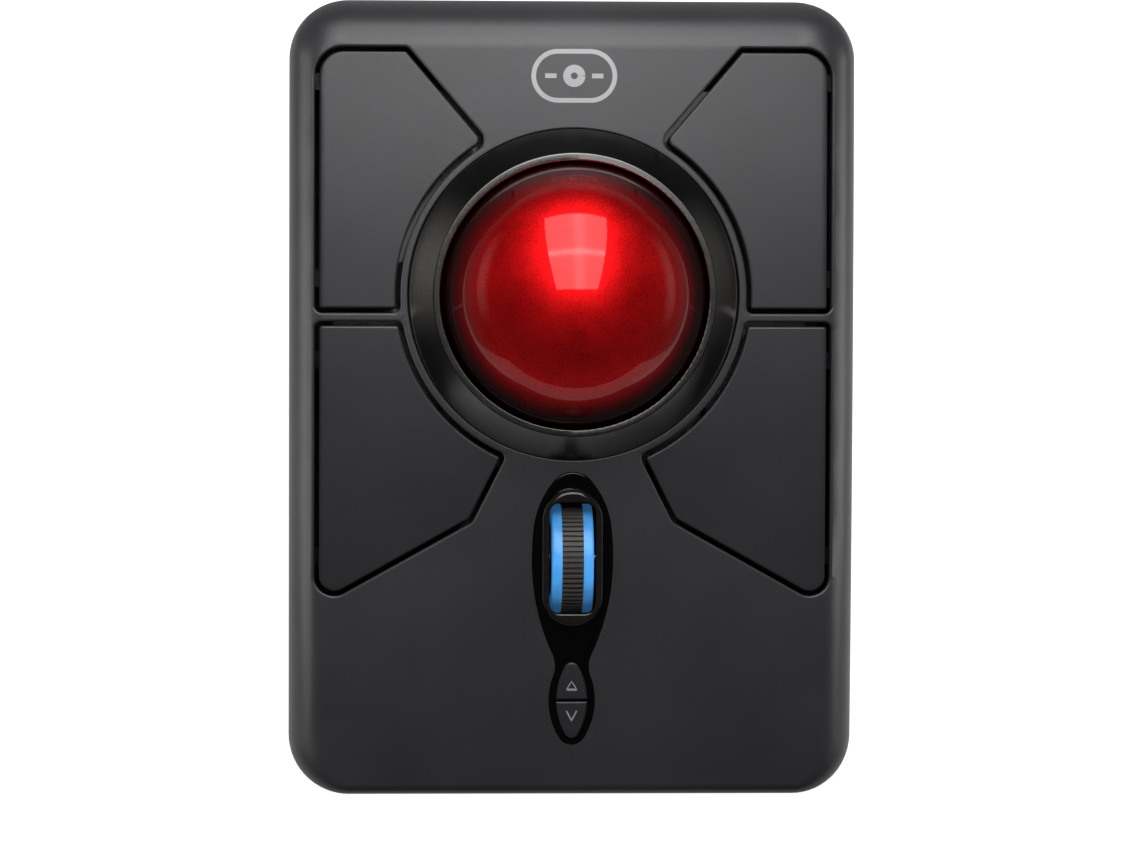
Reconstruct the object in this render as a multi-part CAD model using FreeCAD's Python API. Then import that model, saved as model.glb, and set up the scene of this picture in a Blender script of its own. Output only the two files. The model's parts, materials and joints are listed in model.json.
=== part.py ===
import FreeCAD, Part
import math
import os
from FreeCAD import Placement, Rotation, Vector

"""Wireless desktop trackball mouse.

A low rounded case carries a two-inch ball in a raised collar, four large corner buttons hinged along
the outer sides, and a console with a lit scroll wheel and two small speed buttons.

Frame: X to the right, Y towards the back, Z up. The origin is on the desk, under the middle of the
case. All sizes are in millimetres.
"""

# ---- Case ----------------------------------------------------------------------------------------
CASE_WIDTH = 109.2
CASE_LENGTH = 153.4
CASE_CORNER = 11.6
WALL = 2.2
PARTING_Z = 9.0
SIDE_ROLL = 7.0
BACK_ROLL = 10.0
FRONT_ROLL = 2.2
FOOT_HEIGHT = 0.9
BASE_TUCK = 3.5
REVEAL = 0.35
FLOOR_TOP = FOOT_HEIGHT + 2.0
HALF_W = CASE_WIDTH / 2
HALF_L = CASE_LENGTH / 2

# ---- Ball and the crowned top surface ------------------------------------------------------------
BALL_RADIUS = 25.4
BALL_Y = 19.5
BALL_Z = 30.0
TOP_RADIUS = 1400.0
TILT = math.atan(0.07)
TOP_CENTRE_Y = BALL_Y + TOP_RADIUS * math.sin(TILT)
TOP_CENTRE_Z = BALL_Z - TOP_RADIUS * math.cos(TILT)

# ---- Collar, cup and supports: radii and heights about the collar's axis, from the ball's centre -
COLLAR_OUTER = 31.8
COLLAR_LIP = 27.1
COLLAR_HOLE = 25.75
COLLAR_RISE = 4.7
COLLAR_LIP_ROUND = 0.3
COLLAR_BOTTOM = -2.5
CUP_INNER = 26.6
CUP_OUTER = 28.6
CUP_FLANGE = 31.6
CUP_FLANGE_THICK = 1.5
CUP_DRAIN = 13.0
WEB_INNER = 31.9
WEB_OUTER = 33.2
WEB_DEPTH = 6.0
EAR_TOP = -7.0
EAR_THICK = 1.8
EAR_RADIUS = 3.0
EAR_PLACES = ((10.5, -34.0), (-10.5, -34.0), (12.0, 33.6), (-12.0, 33.6))
SUPPORT_RADIUS = 1.5
SUPPORT_CLEARANCE = 0.03
SUPPORT_POLAR = 136.0
SUPPORT_AZIMUTHS = (30.0, 150.0, 270.0)
SENSOR_POLAR = 120.0

# ---- Corner buttons ------------------------------------------------------------------------------
BUTTON_GAP = 0.9
BUTTON_ARC = 33.75
CAP_PLATE = 2.0
CAP_SKIRT = 5.0
CAP_WALL = 1.3
EDGE_ROUND = 0.45
HOLE_ROUND = 0.3
BUTTON_SIDE = 49.25
UPPER_CORNERS = (
    (32.1, 66.45, 1.0),
    (BUTTON_SIDE, 66.45, 5.0),
    (BUTTON_SIDE, 16.4, 1.0),
    (20.0, 16.4, 0),
    (12.4, 43.4, 0),
)
LOWER_CORNERS = (
    (BUTTON_SIDE, 13.9, 1.0),
    (BUTTON_SIDE, -40.3, 3.4),
    (19.6, -23.8, 2.0),
    (10.9, -6.6, 0),
    (20.0, 13.9, 0),
)
UPPER_TIP_RADIUS = 1.8
LOWER_TIP_RADIUS = 0.9
INNER_CORNER_RADIUS = 1.0
HINGE_X = 46.6
HINGE_DEPTH = 7.0
HINGE_REACH = 19.0
HINGE_PIN_RADIUS = 0.8
HINGE_CLEARANCE = 0.05
HINGE_YS = {"upper": 41.4, "lower": -12.5}
SWITCH_X = 29.0
SWITCH_YS = {"upper": 50.0, "lower": -6.5}
POST_RADIUS = 1.4
TIP_CLEARANCE = 0.04

# ---- Circuit boards and switches -----------------------------------------------------------------
BOARD_THICK = 1.6
BOARD_Z = 12.0
BOARD_TOP = BOARD_Z + BOARD_THICK
BOARD_HALF_X = 46.0
BOARD_FRONT = -13.5
BOARD_BACK = 60.0
BOARD_HOLE = 25.5
BOARD_NOTCH = (13.0, 38.0)
BOARD_SCREWS = ((43.0, 55.0), (-43.0, 55.0), (43.0, -9.5), (-43.0, -9.5))
SWITCH_SIZE = (5.8, 12.8, 6.5)
SWITCH_PLUNGER = (1.2, 2.8, 0.6)
CONSOLE_BOARD_Z = 11.0
CONSOLE_BOARD_TOP = CONSOLE_BOARD_Z + BOARD_THICK
CONSOLE_BOARD = (12.5, -69.5, -14.2)
CONSOLE_BOARD_SLOT = (6.0, -41.9, -20.4)
CONSOLE_BOARD_SCREWS = ((10.2, -66.5), (-10.2, -66.5), (10.2, -24.0), (-10.2, -24.0))

# ---- Console -------------------------------------------------------------------------------------
CONSOLE_Y = -31.5
CONSOLE_HALF_WIDTH = 7.8
CONSOLE_TIP_Y = -14.55
CONSOLE_TIP_ARC = 4.63
CONSOLE_SHOULDER_ARC = 17.0
CONSOLE_UPPER_ARC = 60.0
CONSOLE_LOWER_ARC = 42.8
CONSOLE_NECK_ARC = 5.0
CONSOLE_FIT = 0.05
CONSOLE_RIM = 0.85
CONSOLE_DISH = 1.7
CONSOLE_BOTTOM = 3.6
CONSOLE_FLANGE = 1.4
SPEED_Y = -58.6
SPEED_POCKET = (4.45, 8.5)
SPEED_CAP = (3.06, 7.4)
SPEED_SPLIT = 0.35
SPEED_TOP = -0.5
SPEED_BOTTOM = -4.5
SPEED_FLANGE = (0.6, -3.75)
SPEED_SWITCH_OFFSET = 3.4
SPEED_SWITCH = (4.5, 3.0, 0.8)
SPEED_STEM_RADIUS = 1.0

# ---- Scroll wheel --------------------------------------------------------------------------------
WHEEL_Y = -31.1
WHEEL_Z = 18.0
WHEEL_RADIUS = 11.0
TYRE_HALF = 2.05
TYRE_INNER = 8.6
TYRE_RIBS = 66
RIB_DEPTH = 0.45
LIGHT_RING_OUTER = 10.55
LIGHT_RING_INNER = 7.0
LIGHT_RING_HALF = 4.0
AXLE_RADIUS = 1.3
AXLE_CLEARANCE = 0.05
BEZEL_OUTER = (5.95, 13.2)
BEZEL_INNER = (4.45, 10.7, 2.2)
BEZEL_RISE = 0.9
BEZEL_NECK = 0.5
BEZEL_ROUND = 0.95
BEZEL_LIP_ROUND = 0.4
PLATE_INNER = 4.9
PLATE_OUTER = 6.2
PIVOT_Y = -46.0
PIVOT_Z = 16.0
PIVOT_PIN_RADIUS = 0.8
PIVOT_TUBE_RADIUS = 2.1
CLICK_Y = -17.2
CLICK_PAD_Z = 16.0

# ---- Power ---------------------------------------------------------------------------------------
CELL_RADIUS = 7.25
CELL_X = 22.0
CELL_Z = 9.95
CELL_LENGTH = 49.2
CELL_NUB = (2.75, 1.3)
BAY_FRONT = -71.0
BAY_BACK = -17.4
BAY_INNER = 7.45
BAY_OUTER = 8.35
BAY_END_WALL = 1.2
DOOR_HALF = 31.0
DOOR_TOP = 2.5
DOOR_BACK = -14.6
DOOR_FIT = 0.15
DOOR_TONGUE = 1.2
RECEIVER_Y = (-66.0, -60.0, -48.0)
POWER_X = 24.0
POWER_Y = 52.0
POWER_TRAVEL = 3.0

# ---- Fasteners and feet --------------------------------------------------------------------------
CASE_SCREWS = ((24.0, 66.0), (-24.0, 66.0), (44.0, -46.0), (-44.0, -46.0))
CASE_JOINT_Z = 12.0
CASE_SCREW_SEAT = 4.9
CASE_SCREW = (1.25, 2.4, 1.6, 14.0)
COUNTERBORE = 2.8
SMALL_SCREW = (1.0, 1.9, 1.3)
FOOT_PLACES = ((40.0, 63.5), (-40.0, 63.5), (41.0, -60.0), (-41.0, -60.0))
FOOT_HALF = (8.0, 4.0)
FOOT_RECESS = 0.3

FAR = 100.0
UP = Vector(0, 0, 1)
EAST = Vector(1, 0, 0)
NORTH = Vector(0, 1, 0)
ORIGIN = Vector(0, 0, 0)


# ---- Helpers -------------------------------------------------------------------------------------
def save(node, *shapes):
    """Write one node, as one solid or a group of separate ones."""
    solids = [solid for shape in shapes for solid in shape.Solids]
    whole = solids[0] if len(solids) == 1 else Part.makeCompound(solids)
    for solid in solids:
        if not solid.isValid() or solid.Volume <= 0:
            print("PROBLEM", node, "has a solid that is not valid")
    whole.exportStep(f"parts/{node}.step")
    print(f"{node:24s} {len(solids):2d} solids {whole.Volume:10.1f} mm3")


def box(x0, x1, y0, y1, z0, z1):
    return Part.makeBox(x1 - x0, y1 - y0, z1 - z0, Vector(x0, y0, z0))


def rod(radius, x, y, z0, z1):
    return Part.makeCylinder(radius, z1 - z0, Vector(x, y, z0), UP)


def cross_rod(radius, x0, x1, y, z):
    """A cylinder along X."""
    return Part.makeCylinder(radius, x1 - x0, Vector(x0, y, z), EAST)


def along_y(radius, x, y0, y1):
    """A cylinder on the axis of the cell at x."""
    return Part.makeCylinder(radius, y1 - y0, Vector(x, y0, CELL_Z), NORTH)


def ball(radius, centre=ORIGIN):
    return Part.makeSphere(radius, centre)


def mirrored(shape):
    return shape.mirror(ORIGIN, EAST)


def both_sides(shape):
    return [shape, mirrored(shape)]


def prism(face, z0, z1):
    moved = face.copy()
    moved.translate(Vector(0, 0, z0 - face.BoundBox.ZMin))
    return moved.extrude(Vector(0, 0, z1 - z0))


def rounded_rectangle(half_x, half_y, radius, z=0.0, x=0.0, y=0.0):
    """A closed wire of four lines and four quarter arcs."""
    arcs = []
    for sx, sy, start in ((1, 1, 0), (-1, 1, 90), (-1, -1, 180), (1, -1, 270)):
        cx, cy = x + sx * (half_x - radius), y + sy * (half_y - radius)
        turns = [math.radians(start + step) for step in (0, 45, 90)]
        arcs.append([Vector(cx + radius * math.cos(a), cy + radius * math.sin(a), z) for a in turns])
    edges = []
    for arc, following in zip(arcs, arcs[1:] + arcs[:1]):
        edges.append(Part.Arc(*arc).toShape())
        if arc[2].distanceToPoint(following[0]) > 1e-6:
            edges.append(Part.makeLine(arc[2], following[0]))
    return Part.Wire(edges)


def rounded_block(half_x, half_y, radius, z0, z1, x=0.0, y=0.0):
    return Part.Face(rounded_rectangle(half_x, half_y, radius, z0, x, y)).extrude(Vector(0, 0, z1 - z0))


def arc_outline(circles, offset=0.0):
    """A face whose right side runs from top to bottom along arcs that are tangent to each other.

    Each circle is (x, y, radius), with a negative radius where the outline is hollow. The left side
    is the mirror image, and offset moves the whole outline outward.
    """
    normals = [NORTH]
    for (x0, y0, r0), (x1, y1, r1) in zip(circles, circles[1:]):
        normals.append(Vector((x1 - x0) / (r0 - r1), (y1 - y0) / (r0 - r1), 0))
    normals.append(-NORTH)
    edges = []
    for (x, y, radius), start, end in zip(circles, normals, normals[1:]):
        middle = (start + end).normalize()
        points = [Vector(x, y, 0) + way * (radius + offset) for way in (start, middle, end)]
        edges.append(Part.Arc(*points).toShape())
    left = [mirrored(edge) for edge in edges]
    return Part.Face(Part.Wire(Part.__sortEdges__(edges + left)))


def oval_circles(half_x, half_y, y):
    """The circles of a four-arc oval that is longer along Y."""
    end = 1.2 * half_x ** 2 / half_y
    side = (half_x ** 2 + (half_y - end) ** 2 - end ** 2) / (2 * (half_x - end))
    return [(0, y + half_y - end, end), (half_x - side, y, side), (0, y - half_y + end, end)]


def stadium(half_x, half_y, y, offset=0.0):
    half_x += offset
    half_y += offset
    return Part.Face(rounded_rectangle(half_x, half_y, half_x - 0.001, 0, 0, y))


def upright(edge):
    return abs(edge.tangentAt(edge.FirstParameter).z) > 0.999


def upright_edge_near(solid, x, y):
    """The upright edge that stands nearest to a point of the plan."""
    standing = [edge for edge in solid.Edges if upright(edge)]
    return min(standing, key=lambda edge: math.hypot(edge.CenterOfMass.x - x, edge.CenterOfMass.y - y))


def top_z(y):
    """Height of the crowned top surface."""
    return TOP_CENTRE_Z + math.sqrt(TOP_RADIUS ** 2 - (y - TOP_CENTRE_Y) ** 2)


def top_slope(y):
    """The top surface's slope in degrees, positive where it climbs towards the back."""
    return math.degrees(math.asin((TOP_CENTRE_Y - y) / TOP_RADIUS))


def below_top(offset):
    """Everything under the top surface once that is moved outward by offset."""
    radius = TOP_RADIUS + offset
    arc = [
        Vector(-FAR, y, TOP_CENTRE_Z + math.sqrt(radius ** 2 - (y - TOP_CENTRE_Y) ** 2))
        for y in (-FAR, 0, FAR)
    ]
    low_back, low_front = Vector(-FAR, FAR, -FAR), Vector(-FAR, -FAR, -FAR)
    edges = [
        Part.Arc(*arc).toShape(),
        Part.makeLine(arc[2], low_back),
        Part.makeLine(low_back, low_front),
        Part.makeLine(low_front, arc[0]),
    ]
    return Part.Face(Part.Wire(edges)).extrude(Vector(2 * FAR, 0, 0))


def layer(face, upper, lower):
    """The upright prism of a face, between two heights from the top surface."""
    return prism(face, -FAR / 2, FAR / 2).common(below_top(upper)).cut(below_top(lower))


def on_top(shape, x, y, z=None):
    """Move a shape made about the origin to the top surface, leaning with its slope."""
    height = top_z(y) if z is None else z
    moved = shape.copy()
    lean = Placement(Vector(x, y, height), Rotation(EAST, top_slope(y)))
    moved.Placement = lean.multiply(moved.Placement)
    return moved


def on_collar(shape):
    """Move a shape made about the collar's axis to the ball's centre."""
    return on_top(shape, 0, BALL_Y, BALL_Z)


def turned(profile):
    """A solid of revolution about Z from (radius, height) points."""
    points = [Vector(radius, 0, height) for radius, height in profile]
    return Part.Face(Part.makePolygon(points + points[:1])).revolve(ORIGIN, UP, 360)


def toward(polar, azimuth, distance=1.0):
    """A vector from the ball's centre: polar from straight up, azimuth from +X, in degrees."""
    p, a = math.radians(polar), math.radians(azimuth)
    return Vector(math.sin(p) * math.cos(a), math.sin(p) * math.sin(a), math.cos(p)) * distance


def fillet_edges(solid, chosen):
    """Round numbered edges, each with its own radius at its start and at its end."""
    source = doc.addObject("Part::Feature", "source")
    source.Shape = solid
    rounding = doc.addObject("Part::Fillet", "rounding")
    rounding.Base = source
    rounding.Edges = chosen
    doc.recompute()
    return rounding.Shape


def round_rim(solid, face, offset, radius=EDGE_ROUND):
    """Round the edges that stand over a plan's outline and face up."""
    outline = face.makeOffset2D(offset).OuterWire if offset else face.OuterWire
    level = outline.BoundBox.ZMin
    rim = []
    for edge in solid.Edges:
        middle = edge.valueAt((edge.FirstParameter + edge.LastParameter) / 2)
        if upright(edge) or middle.z < top_z(middle.y) - 1.5:
            continue
        if outline.distToShape(Part.Vertex(middle.x, middle.y, level))[0] < 0.02:
            rim.append(edge)
    return solid.makeFillet(radius, rim)


# ---- Case shells ---------------------------------------------------------------------------------
def casing_block(inset, z0=PARTING_Z - 1):
    """The case's outside moved inward by inset, with its rolled top edges, above z0."""
    half_x, half_y = HALF_W - inset, HALF_L - inset
    side, back = SIDE_ROLL - inset, BACK_ROLL - inset
    front = max(FRONT_ROLL - inset, 0.6)
    block = rounded_block(half_x, half_y, CASE_CORNER - inset, z0, 2 * BALL_Z).common(below_top(-inset))
    chosen = []
    for number, edge in enumerate(block.Edges, 1):
        if edge.BoundBox.ZMin < z0 + 1:
            continue
        centre = edge.CenterOfMass
        end = back if centre.y > 0 else front
        if abs(centre.x) > half_x - 0.5:
            chosen.append((number, side, side))
        elif abs(centre.y) > half_y - 0.5:
            chosen.append((number, end, end))
        else:
            starts_on_side = abs(edge.valueAt(edge.FirstParameter).x) > half_x - 0.01
            chosen.append((number, side, end) if starts_on_side else (number, end, side))
    return fillet_edges(block, chosen)


def base_block(inset, z0, z1):
    """The base's outside, which tucks in towards the desk, moved inward by inset."""
    tuck_top = PARTING_Z - 0.4
    wires = []
    for z in (FOOT_HEIGHT, tuck_top):
        reach = inset + REVEAL + BASE_TUCK * (tuck_top - z) / (tuck_top - FOOT_HEIGHT)
        wires.append(rounded_rectangle(HALF_W - reach, HALF_L - reach, CASE_CORNER - reach, z))
    lower = Part.makeLoft(wires, True, True)
    reach = inset + REVEAL
    upper = rounded_block(HALF_W - reach, HALF_L - reach, CASE_CORNER - reach, tuck_top, PARTING_Z)
    return lower.fuse(upper).common(box(-FAR, FAR, -FAR, FAR, z0, z1))


# ---- Outlines in plan ----------------------------------------------------------------------------
def button_plan(corners, tip_radius):
    """The middle line of the gap round one right-hand button, as a flat face."""
    polygon = Part.Face(Part.makePolygon([Vector(x, y, 0) for x, y, _ in corners + corners[:1]]))
    centre = Vector(0, BALL_Y, 0)
    disc = Part.Face(Part.Wire(Part.makeCircle(BUTTON_ARC, centre)))
    disc.rotate(centre, UP, 180)
    block = polygon.cut(disc).extrude(UP)
    for x, y, radius in corners:
        if radius:
            block = block.makeFillet(radius, [upright_edge_near(block, x, y)])
    level = centre + UP * 0.5
    on_arc = [
        edge.CenterOfMass
        for edge in block.Edges
        if upright(edge) and abs(edge.CenterOfMass.distanceToPoint(level) - BUTTON_ARC) < 0.01
    ]
    on_arc.sort(key=lambda point: abs(point.y - BALL_Y))
    for point, radius in ((on_arc[0], INNER_CORNER_RADIUS), (on_arc[-1], tip_radius)):
        block = block.makeFillet(radius, [upright_edge_near(block, point.x, point.y)])
    return min(block.Faces, key=lambda face: face.CenterOfMass.z)


def tangent_circle(first, radius, second):
    """The circle that touches two others, outside both, or round both where radius is negative."""
    (x0, y0, r0), (x1, y1, r1) = first, second
    reach_a, reach_b = abs(r0 + radius), abs(r1 + radius)
    apart = Vector(x1 - x0, y1 - y0, 0)
    along = (reach_a ** 2 - reach_b ** 2 + apart.Length ** 2) / (2 * apart.Length)
    across = math.sqrt(reach_a ** 2 - along ** 2)
    way = Vector(apart).normalize()
    return (x0 + way.x * along - way.y * across, y0 + way.y * along + way.x * across, -radius)


def console_circles():
    """The console's outline: an egg round the wheel that necks down to an oval round the buttons."""
    tip = (0, CONSOLE_TIP_Y - CONSOLE_TIP_ARC, CONSOLE_TIP_ARC)
    upper_side = (CONSOLE_HALF_WIDTH - CONSOLE_UPPER_ARC, CONSOLE_Y, CONSOLE_UPPER_ARC)
    lower_side = (CONSOLE_HALF_WIDTH - CONSOLE_LOWER_ARC, CONSOLE_Y, CONSOLE_LOWER_ARC)
    shoulder = tangent_circle(tip, -CONSOLE_SHOULDER_ARC, upper_side)
    _, pocket_side, pocket_end = oval_circles(*SPEED_POCKET, SPEED_Y)
    neck = tangent_circle(lower_side, CONSOLE_NECK_ARC, pocket_side)
    return [tip, shoulder, upper_side, lower_side, neck, pocket_side, pocket_end]


# ---- Buttons -------------------------------------------------------------------------------------
def switch_top():
    return BOARD_TOP + SWITCH_SIZE[2] + SWITCH_PLUNGER[2]


def button_cap(place):
    """A right-hand corner button: a skirted cap with a press post and two hinge lugs."""
    plan = PLANS[place]
    outside = prism(plan.makeOffset2D(-BUTTON_GAP / 2), 0, FAR).common(CASING)
    inside = prism(plan.makeOffset2D(-BUTTON_GAP / 2 - CAP_WALL), 0, FAR).common(CASING_UNDER_CAP)
    cap = outside.cut(below_top(-CAP_SKIRT))
    cap = round_rim(cap, plan, -BUTTON_GAP / 2)
    cap = cap.cut(inside)
    switch_y = SWITCH_YS[place]
    tip = switch_top() + TIP_CLEARANCE + POST_RADIUS
    post = rod(POST_RADIUS, SWITCH_X, switch_y, tip, top_z(switch_y) - CAP_PLATE + 0.3)
    hinge_y = HINGE_YS[place]
    lugs = []
    for side in (1, -1):
        middle = side * (HINGE_REACH - 3.6)
        lug = box(-1.9, 1.9, middle - 1.5, middle + 1.5, -HINGE_DEPTH - 1.6, -CAP_PLATE + 0.2)
        lugs.append(on_top(lug, HINGE_X, hinge_y))
    bore = hinge_rod(place, HINGE_PIN_RADIUS + HINGE_CLEARANCE)
    return cap.fuse([post, ball(POST_RADIUS, Vector(SWITCH_X, switch_y, tip))] + lugs).cut(bore)


def hinge_rod(place, radius):
    """A right-hand hinge's pin, or its bore, which leans with the top surface."""
    length = HINGE_REACH + 1.6
    pin = Part.makeCylinder(radius, 2 * length, Vector(0, -length, -HINGE_DEPTH), NORTH)
    return on_top(pin, HINGE_X, HINGE_YS[place])


def hinge_brackets():
    """The lugs inside the cover's right side wall that hold the ends of the hinge pins."""
    brackets = []
    for place, y in HINGE_YS.items():
        for side in (1, -1):
            y0, y1 = side * HINGE_REACH - 1.6, side * HINGE_REACH + 1.6
            block = box(-2.0, 1.4, y0, y1, -HINGE_DEPTH - 5.4, -HINGE_DEPTH + 1.6)
            arm = box(1.3, 6.2, y0, y1, -HINGE_DEPTH - 5.4, -HINGE_DEPTH - 1.9)
            bracket = on_top(block.fuse(arm), HINGE_X, y)
            brackets.append(bracket.cut(hinge_rod(place, HINGE_PIN_RADIUS)))
    return brackets


def make_buttons():
    pins = []
    for place in ("upper", "lower"):
        cap = button_cap(place)
        save(f"{place}_right_button", cap)
        save(f"{place}_left_button", mirrored(cap))
        pins += both_sides(hinge_rod(place, HINGE_PIN_RADIUS))
    save("button_hinge_pins", *pins)


def make_button_switches():
    """Four snap switches under the posts, each with a plunger in a slot."""
    width, length, height = SWITCH_SIZE
    plunger_x, plunger_y, rise = SWITCH_PLUNGER
    top = BOARD_TOP + height
    bodies = []
    for place, y in SWITCH_YS.items():
        body = box(-width / 2, width / 2, -length / 2, length / 2, BOARD_TOP, top)
        body.translate(Vector(SWITCH_X, y, 0))
        slot_x, slot_y = plunger_x / 2 + 0.05, plunger_y / 2 + 0.05
        slot = box(-slot_x, slot_x, -slot_y, slot_y, -1.5, 1)
        slot.translate(Vector(SWITCH_X, y, top))
        bodies += both_sides(body.cut(slot))
        plunger = box(-plunger_x / 2, plunger_x / 2, -plunger_y / 2, plunger_y / 2, -0.8, rise)
        plunger.translate(Vector(SWITCH_X, y, top))
        save(f"{place}_right_plunger", plunger)
        save(f"{place}_left_plunger", mirrored(plunger))
    save("button_switches", *bodies)


# ---- Cover and base ------------------------------------------------------------------------------
def cover_bosses():
    """Screw bosses that hang from the cover: four for the base and four for the cup."""
    shaft, _, _, length = CASE_SCREW
    bosses = []
    for x, y in CASE_SCREWS:
        boss = rod(3.0, x, y, CASE_JOINT_Z, FAR / 2)
        bosses.append(boss.cut(rod(shaft, x, y, CASE_JOINT_Z - 1, CASE_SCREW_SEAT + length)))
    for x, y in EAR_PLACES:
        boss = rod(2.6, x, y, EAR_TOP, 4).cut(rod(SMALL_SCREW[0], x, y, EAR_TOP - 1, -2.6))
        bosses.append(on_collar(boss))
    return bosses


def make_cover():
    shell = CASING.cut(CASING_INSIDE).cut(box(-FAR, FAR, -FAR, FAR, 0, PARTING_Z))
    web = on_collar(rod(WEB_OUTER, 0, 0, -WEB_DEPTH, 6))
    ring = web.common(casing_block(0.6))
    insides = [boss.common(casing_block(1.0)) for boss in cover_bosses()]
    insides += [shape for bracket in hinge_brackets() for shape in both_sides(bracket)]
    cover = shell.fuse([ring] + insides)
    openings = [on_collar(rod(WEB_INNER, 0, 0, -WEB_DEPTH - 1, 8))]
    for plan in PLANS.values():
        openings += both_sides(layer(plan.makeOffset2D(BUTTON_GAP / 2), 5, -4))
    openings.append(layer(arc_outline(CONSOLE, CONSOLE_FIT), 5, -8))
    openings.append(layer(arc_outline(CONSOLE, CONSOLE_FLANGE + 0.1), -WALL, -8))
    cover = cover.cut(openings)
    for plan in PLANS.values():
        cover = round_rim(cover, plan, BUTTON_GAP / 2)
        cover = round_rim(cover, plan.mirror(ORIGIN, EAST), BUTTON_GAP / 2)
    rim = []
    for edge in cover.Edges:
        middle = edge.valueAt((edge.FirstParameter + edge.LastParameter) / 2)
        reach = math.hypot(middle.x, middle.y - BALL_Y)
        if abs(reach - WEB_INNER) < 0.12 and middle.z > top_z(middle.y) - 0.5:
            rim.append(edge)
    save("top_cover", cover.makeFillet(HOLE_ROUND, rim))


def battery_bay():
    """Two troughs for the cells and a stepped ceiling between them, moulded into the base."""
    front, back = BAY_FRONT - BAY_END_WALL, BAY_BACK + BAY_END_WALL
    shells, hollows = [], []
    for x in (CELL_X, -CELL_X):
        shells.append(along_y(BAY_OUTER, x, front, back))
        shells.append(box(x - BAY_OUTER, x + BAY_OUTER, front, back, DOOR_TOP + DOOR_FIT, CELL_Z))
        hollows.append(along_y(BAY_INNER, x, BAY_FRONT, BAY_BACK))
        hollows.append(box(x - BAY_INNER, x + BAY_INNER, BAY_FRONT, BAY_BACK, -1, CELL_Z))
    inner = CELL_X - BAY_OUTER + 0.2
    high, low, step = 8.6, 4.4, -45.5
    middle = [
        box(-inner, inner, front, step, high, high + 1.2),
        box(-inner, inner, step - 1, step, low, high + 1.2),
        box(-inner, inner, step - 1, back, low, low + 1.0),
        box(-inner, inner, BAY_BACK, back, FLOOR_TOP - 0.2, low + 1.0),
        box(-inner, inner, front, BAY_FRONT, FLOOR_TOP - 0.2, high + 1.2),
    ]
    for x, y in CONSOLE_BOARD_SCREWS:
        ceiling = high if y < step else low
        middle.append(rod(2.2, x, y, ceiling + 0.5, CONSOLE_BOARD_Z))
    for side in (1, -1):
        inside, outside = sorted((side * 7.4, side * 8.4))
        middle.append(box(inside, outside, -64, -50, 4.0, high + 0.5))
    bay = shells[0].fuse(shells[1:] + middle)
    link_slot = box(-16, 16, BAY_FRONT, BAY_FRONT + 0.6, 7.9, 12.1)
    leads = [Part.makeCylinder(0.6, 4, Vector(x, BAY_BACK - 1, 12.8), NORTH) for x in (CELL_X, -CELL_X)]
    bores = [rod(SMALL_SCREW[0], x, y, 4.0, 20) for x, y in CONSOLE_BOARD_SCREWS]
    return bay.cut(hollows + [link_slot] + leads + bores)


def make_base():
    shaft = CASE_SCREW[0]
    shell = base_block(0, FOOT_HEIGHT, PARTING_Z).cut(base_block(WALL, FLOOR_TOP, PARTING_Z))
    lip_reach = WALL + 0.15
    lip = rounded_block(HALF_W - lip_reach, HALF_L - lip_reach, CASE_CORNER - lip_reach, 7.4, 10.8)
    lip = lip.cut(rounded_block(HALF_W - 3.6, HALF_L - 3.6, CASE_CORNER - 3.6, 7, 11))
    adds = [lip]
    cuts = []
    for x, y in CASE_SCREWS:
        adds.append(rod(4.0, x, y, FLOOR_TOP - 0.2, CASE_JOINT_Z))
        cuts.append(rod(COUNTERBORE, x, y, 0, CASE_SCREW_SEAT))
        cuts.append(rod(shaft, x, y, 4, 20))
    for x, y in BOARD_SCREWS:
        adds.append(rod(3.0, x, y, FLOOR_TOP - 0.2, BOARD_Z))
        cuts.append(rod(SMALL_SCREW[0], x, y, 5.5, 20))
    for x, y in FOOT_PLACES:
        cuts.append(foot(x, y, 0))
    rail = box(BAY_INNER + CELL_X, 34, BAY_FRONT - 0.5, DOOR_BACK + 1.5, DOOR_TOP + DOOR_FIT, 3.9)
    ledge = box(-34, 34, BAY_BACK, DOOR_BACK + 1.5, DOOR_TOP + DOOR_FIT, 3.9)
    adds += both_sides(rail) + [ledge]
    opening = box(-CELL_X - BAY_INNER, CELL_X + BAY_INNER, BAY_FRONT, BAY_BACK, 0, FLOOR_TOP + 0.1)
    shell = shell.cut(opening)
    base = shell.fuse(adds).fuse(battery_bay())
    slot_half = DOOR_HALF + DOOR_FIT
    groove_half = slot_half + DOOR_TONGUE
    slot_top = DOOR_TOP + DOOR_FIT
    slot = box(-slot_half, slot_half, -FAR, DOOR_BACK + DOOR_FIT, 0, slot_top)
    groove = box(-groove_half, groove_half, -FAR, -17 + DOOR_FIT, 1.6, slot_top)
    power = [
        box(POWER_X - 7, POWER_X + 7, POWER_Y - 3.5, POWER_Y + 3.5, 0, 1.9),
        box(POWER_X - 4.2, POWER_X + 4.2, POWER_Y - 1.8, POWER_Y + 1.8, 0, 5),
    ]
    hollow = [
        box(x - BAY_INNER, x + BAY_INNER, BAY_FRONT, BAY_BACK, 0, CELL_Z)
        for x in (CELL_X, -CELL_X)
    ]
    base = base.cut(cuts + hollow + [slot, groove] + power)
    save("base_shell", base)


def foot(x, y, z0):
    return rounded_block(*FOOT_HALF, FOOT_HALF[1] - 0.01, z0, FOOT_HEIGHT + FOOT_RECESS, x, y)


def recessed_screw(x, y, seat, size):
    """A screw that points up, with a cross recess in the underside of its head."""
    shaft, head, thick, length = size
    screw = rod(shaft, x, y, seat, seat + length).fuse(rod(head, x, y, seat - thick, seat))
    for turn in (0, 90):
        recess = box(-head * 0.55, head * 0.55, -0.3, 0.3, seat - thick - 1, seat - thick + 0.8)
        recess.rotate(ORIGIN, UP, turn)
        recess.translate(Vector(x, y, 0))
        screw = screw.cut(recess)
    return screw


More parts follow.
